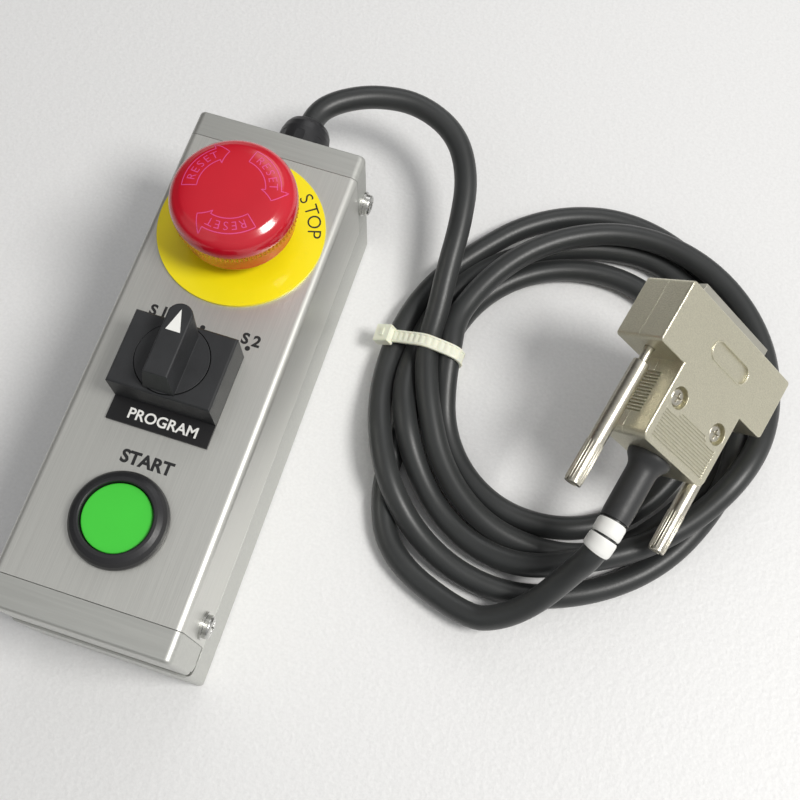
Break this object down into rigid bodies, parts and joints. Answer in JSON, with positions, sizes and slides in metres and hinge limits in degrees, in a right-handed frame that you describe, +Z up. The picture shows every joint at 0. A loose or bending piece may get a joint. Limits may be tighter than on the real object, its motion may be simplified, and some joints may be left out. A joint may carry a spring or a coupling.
{
  "type": "pendant control station",
  "caption": "Hand-held aluminium control box with mushroom stop, selector and push button, a gland and a coiled cable ending in a D-type connector hood.",
  "frame": {"origin": "centre of the box's underside, on the surface it lies on", "axes": "+Z up out of the control panel, +Y along the box towards the cable gland, +X towards the coiled cable"},
  "size_m": [0.2266, 0.227, 0.088],
  "materials": {
    "cover": "brushed lengthwise",
    "cap": "satin",
    "steel": "satin",
    "bright_steel": "bright",
    "yellow": "gloss",
    "red": "satin",
    "black": "matte",
    "black_satin": "satin",
    "green": "satin",
    "white": "matte",
    "grey_block": "matte",
    "gland_grey": "satin",
    "rubber": "matte",
    "cable": "satin",
    "core": "satin",
    "hood": "satin",
    "nickel": "satin",
    "insulator": "matte",
    "gold": "bright"
  },
  "bodies": {
    "station": {"top_cover": "cover", "base_tray": "cap", "end_cap_near": "cap", "end_cap_far": "cap", "side_screws": "steel", "side_washers": "steel", "estop_legend_ring": "yellow", "estop_gasket": "rubber", "estop_body": "black", "estop_spring": "steel", "estop_locknut": "black", "estop_contact_block": "grey_block", "selector_plate": "black_satin", "selector_base": "black", "selector_locknut": "black", "selector_contact_block": "grey_block", "start_gasket": "rubber", "start_bezel": "black_satin", "start_spring": "steel", "start_locknut": "black", "start_contact_block": "grey_block", "terminal_screws": "steel", "gland_body": "gland_grey", "gland_nut": "gland_grey", "gland_seal": "rubber", "gland_locknut": "gland_grey", "cable_entry": "cable", "core_wires": "core", "cable_lead": "cable", "cable_coil": "cable", "cable_tie": "white", "cable_tail": "cable", "cable_end": "cable", "hood_upper_shell": "hood", "hood_lower_shell": "hood", "hood_screws": "bright_steel", "hood_boot": "rubber", "hood_cable_clamp": "nickel", "hood_clamp_screws": "steel", "connector_shell": "nickel", "connector_insulator": "insulator", "connector_pins": "gold"},
    "estop_plunger": {"estop_stem": "black"},
    "estop_mushroom": {"estop_head": "red"},
    "selector_rotor": {"selector_knob": "black_satin", "selector_pointer": "white", "selector_circlip": "steel"},
    "start_plunger": {"start_button": "green", "start_stem": "black"},
    "jack_slider_left": {"jack_washer_left": "nickel"},
    "jack_screw_left": {"jackscrew_left": "bright_steel"},
    "jack_slider_right": {"jack_washer_right": "nickel"},
    "jack_screw_right": {"jackscrew_right": "bright_steel"}
  },
  "joints": [
    {"name": "estop_push", "type": "slide", "parent": "station", "child": "estop_plunger", "axis": [0, 0, -1], "range_m": [0, 0.0045], "stiffness_N_per_m": 800, "springref_m": -0.002, "deforming": ["estop_spring"]},
    {"name": "estop_twist", "type": "hinge", "parent": "estop_plunger", "child": "estop_mushroom", "pos_m": [0, 0.0491, 0.08], "axis": [0, 0, -1], "range_deg": [0, 45]},
    {"name": "start_push", "type": "slide", "parent": "station", "child": "start_plunger", "axis": [0, 0, -1], "range_m": [0, 0.0026], "stiffness_N_per_m": 800, "springref_m": -0.002, "deforming": ["start_spring"]},
    {"name": "selector_turn", "type": "hinge", "parent": "station", "child": "selector_rotor", "pos_m": [0, -0.005, 0.075], "axis": [0, 0, 1], "range_deg": [-45, 45]},
    {"name": "jack_left_slide", "type": "slide", "parent": "station", "child": "jack_slider_left", "axis": [0.2331, 0.9636, 0.1311], "range_m": [0, 0.003]},
    {"name": "jack_left_spin", "type": "hinge", "parent": "jack_slider_left", "child": "jack_screw_left", "pos_m": [0.13723, 0.04791, 0.06058], "axis": [0.2331, 0.9636, 0.1311], "continuous": true},
    {"name": "jack_right_slide", "type": "slide", "parent": "station", "child": "jack_slider_right", "axis": [0.2331, 0.9636, 0.1311], "range_m": [0, 0.003]},
    {"name": "jack_right_spin", "type": "hinge", "parent": "jack_slider_right", "child": "jack_screw_right", "pos_m": [0.17247, 0.04359, 0.02972], "axis": [0.2331, 0.9636, 0.1311], "continuous": true}
  ]
}
